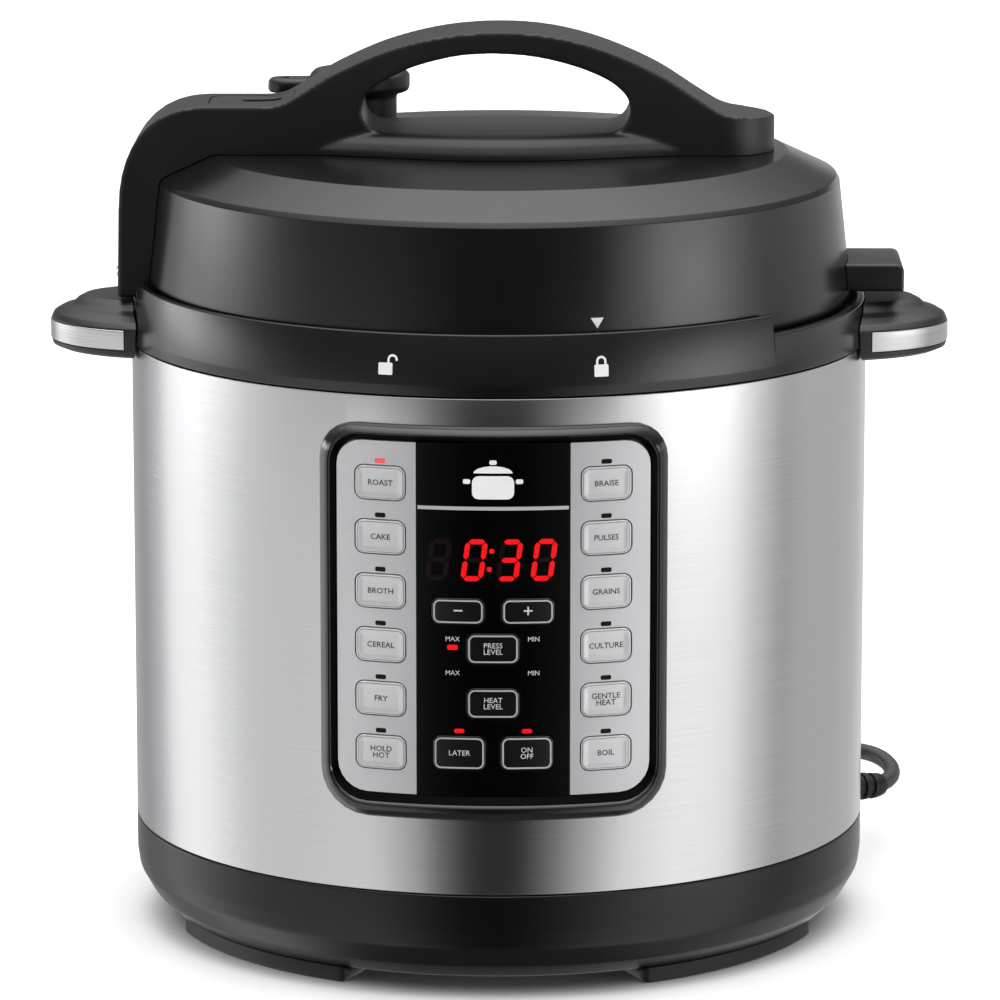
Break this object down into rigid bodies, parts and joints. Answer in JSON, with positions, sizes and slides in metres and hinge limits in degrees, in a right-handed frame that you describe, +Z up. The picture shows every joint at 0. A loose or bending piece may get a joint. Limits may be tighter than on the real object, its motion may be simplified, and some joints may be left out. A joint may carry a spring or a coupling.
{
  "type": "electric pressure cooker",
  "caption": "Countertop electric pressure cooker: brushed steel body, black twist-lock lid with arched handle, steam valve, side handles, curved keypad with display, and a mains lead.",
  "frame": {"origin": "where the axis of the round body meets the surface the cooker stands on", "axes": "+Z up, -Y the front with the control panel, +X the right-hand side handle seen from the front"},
  "size_m": [0.3376, 0.3919, 0.3377],
  "materials": {
    "black_plastic": "satin moulded, fine texture",
    "black_rubber": "matt moulded",
    "cord_jacket": "satin flexible jacket",
    "brushed_steel": "brushed round the body",
    "bare_steel": "pressed and polished",
    "aluminium": "cast or spun, plain",
    "gloss_black": "high gloss",
    "silver_film": "silver printed film, satin",
    "silver_key": "silver printed film over a raised key",
    "black_key": "black film with a white printed outline",
    "display_body": "red seven-segment display",
    "circuit_board": "solder-masked board",
    "silicone": "translucent white silicone",
    "red_plastic": "matt red pin",
    "smoke_plastic": "clear smoke-grey moulding"
  },
  "bodies": {
    "base": {"base_tray": "black_plastic", "collar": "black_plastic", "control_bezel": "gloss_black", "control_board": "circuit_board", "cord_coil": "cord_jacket", "cord_tail": "cord_jacket", "cup_holder": "black_plastic", "display_module": "display_body", "display_window": "gloss_black", "foot_front_left": "black_rubber", "foot_front_right": "black_rubber", "foot_rear_left": "black_rubber", "foot_rear_right": "black_rubber", "heater_plate": "aluminium", "inner_housing": "aluminium", "keypad_left": "silver_film", "keypad_right": "silver_film", "left_handle": "black_plastic", "left_handle_trim": "brushed_steel", "locking_ring": "bare_steel", "outer_shell": "brushed_steel", "plug": "black_rubber", "power_board": "circuit_board", "power_cord": "cord_jacket", "right_handle": "black_plastic", "right_handle_trim": "brushed_steel", "strain_relief": "black_rubber"},
    "pot": {"inner_pot": "bare_steel"},
    "lid_seal": {"sealing_ring": "silicone", "seal_rack": "bare_steel"},
    "lid": {"lid_shell": "black_plastic", "lid_plate": "bare_steel", "lid_handle": "black_plastic", "handle_insert": "black_plastic", "leg_screw": "bare_steel", "lid_fin": "black_plastic", "valve_pipe": "bare_steel", "valve_shield": "bare_steel"},
    "steam_valve_knob": {"steam_valve": "black_plastic"},
    "float_pin": {"float_valve": "red_plastic"},
    "sensor": {"thermostat_sensor": "aluminium"},
    "cup": {"condensation_cup": "smoke_plastic"},
    "key_delay": {"key_delay": "black_key"},
    "key_left_1": {"key_left_1": "silver_key"},
    "key_left_2": {"key_left_2": "silver_key"},
    "key_left_3": {"key_left_3": "silver_key"},
    "key_left_4": {"key_left_4": "silver_key"},
    "key_left_5": {"key_left_5": "silver_key"},
    "key_left_6": {"key_left_6": "silver_key"},
    "key_minus": {"key_minus": "black_key"},
    "key_plus": {"key_plus": "black_key"},
    "key_pressure": {"key_pressure": "black_key"},
    "key_right_1": {"key_right_1": "silver_key"},
    "key_right_2": {"key_right_2": "silver_key"},
    "key_right_3": {"key_right_3": "silver_key"},
    "key_right_4": {"key_right_4": "silver_key"},
    "key_right_5": {"key_right_5": "silver_key"},
    "key_right_6": {"key_right_6": "silver_key"},
    "key_start": {"key_start": "black_key"},
    "key_temperature": {"key_temperature": "black_key"}
  },
  "joints": [
    {"name": "pot_lift", "type": "slide", "parent": "base", "child": "pot", "axis": [0, 0, 1], "range_m": [0, 0.19]},
    {"name": "lid_lift", "type": "slide", "parent": "pot", "child": "lid_seal", "axis": [0, 0, 1], "range_m": [0, 0.12]},
    {"name": "lid_turn", "type": "hinge", "parent": "lid_seal", "child": "lid", "pos_m": [0, 0, 0.2466], "axis": [0, 0, 1], "range_deg": [-32, 0]},
    {"name": "steam_valve_turn", "type": "hinge", "parent": "lid", "child": "steam_valve_knob", "pos_m": [-0.0536, 0.045, 0.3], "axis": [0, 0, 1], "range_deg": [-45, 0]},
    {"name": "float_rise", "type": "slide", "parent": "lid", "child": "float_pin", "axis": [0, 0, 1], "range_m": [0, 0.006]},
    {"name": "sensor_press", "type": "slide", "parent": "base", "child": "sensor", "axis": [0, 0, 1], "range_m": [-0.002, 0], "stiffness_N_per_m": 400, "springref_m": 0.002},
    {"name": "cup_pull", "type": "slide", "parent": "base", "child": "cup", "axis": [0, 1, 0], "range_m": [0, 0.04]},
    {"name": "key_delay_press", "type": "slide", "parent": "base", "child": "key_delay", "axis": [0, 1, 0], "range_m": [0, 0.0005], "stiffness_N_per_m": 350},
    {"name": "key_left_1_press", "type": "slide", "parent": "base", "child": "key_left_1", "axis": [0, 1, 0], "range_m": [0, 0.0005], "stiffness_N_per_m": 350},
    {"name": "key_left_2_press", "type": "slide", "parent": "base", "child": "key_left_2", "axis": [0, 1, 0], "range_m": [0, 0.0005], "stiffness_N_per_m": 350},
    {"name": "key_left_3_press", "type": "slide", "parent": "base", "child": "key_left_3", "axis": [0, 1, 0], "range_m": [0, 0.0005], "stiffness_N_per_m": 350},
    {"name": "key_left_4_press", "type": "slide", "parent": "base", "child": "key_left_4", "axis": [0, 1, 0], "range_m": [0, 0.0005], "stiffness_N_per_m": 350},
    {"name": "key_left_5_press", "type": "slide", "parent": "base", "child": "key_left_5", "axis": [0, 1, 0], "range_m": [0, 0.0005], "stiffness_N_per_m": 350},
    {"name": "key_left_6_press", "type": "slide", "parent": "base", "child": "key_left_6", "axis": [0, 1, 0], "range_m": [0, 0.0005], "stiffness_N_per_m": 350},
    {"name": "key_minus_press", "type": "slide", "parent": "base", "child": "key_minus", "axis": [0, 1, 0], "range_m": [0, 0.0005], "stiffness_N_per_m": 350},
    {"name": "key_plus_press", "type": "slide", "parent": "base", "child": "key_plus", "axis": [0, 1, 0], "range_m": [0, 0.0005], "stiffness_N_per_m": 350},
    {"name": "key_pressure_press", "type": "slide", "parent": "base", "child": "key_pressure", "axis": [0, 1, 0], "range_m": [0, 0.0005], "stiffness_N_per_m": 350},
    {"name": "key_right_1_press", "type": "slide", "parent": "base", "child": "key_right_1", "axis": [0, 1, 0], "range_m": [0, 0.0005], "stiffness_N_per_m": 350},
    {"name": "key_right_2_press", "type": "slide", "parent": "base", "child": "key_right_2", "axis": [0, 1, 0], "range_m": [0, 0.0005], "stiffness_N_per_m": 350},
    {"name": "key_right_3_press", "type": "slide", "parent": "base", "child": "key_right_3", "axis": [0, 1, 0], "range_m": [0, 0.0005], "stiffness_N_per_m": 350},
    {"name": "key_right_4_press", "type": "slide", "parent": "base", "child": "key_right_4", "axis": [0, 1, 0], "range_m": [0, 0.0005], "stiffness_N_per_m": 350},
    {"name": "key_right_5_press", "type": "slide", "parent": "base", "child": "key_right_5", "axis": [0, 1, 0], "range_m": [0, 0.0005], "stiffness_N_per_m": 350},
    {"name": "key_right_6_press", "type": "slide", "parent": "base", "child": "key_right_6", "axis": [0, 1, 0], "range_m": [0, 0.0005], "stiffness_N_per_m": 350},
    {"name": "key_start_press", "type": "slide", "parent": "base", "child": "key_start", "axis": [0, 1, 0], "range_m": [0, 0.0005], "stiffness_N_per_m": 350},
    {"name": "key_temperature_press", "type": "slide", "parent": "base", "child": "key_temperature", "axis": [0, 1, 0], "range_m": [0, 0.0005], "stiffness_N_per_m": 350}
  ]
}
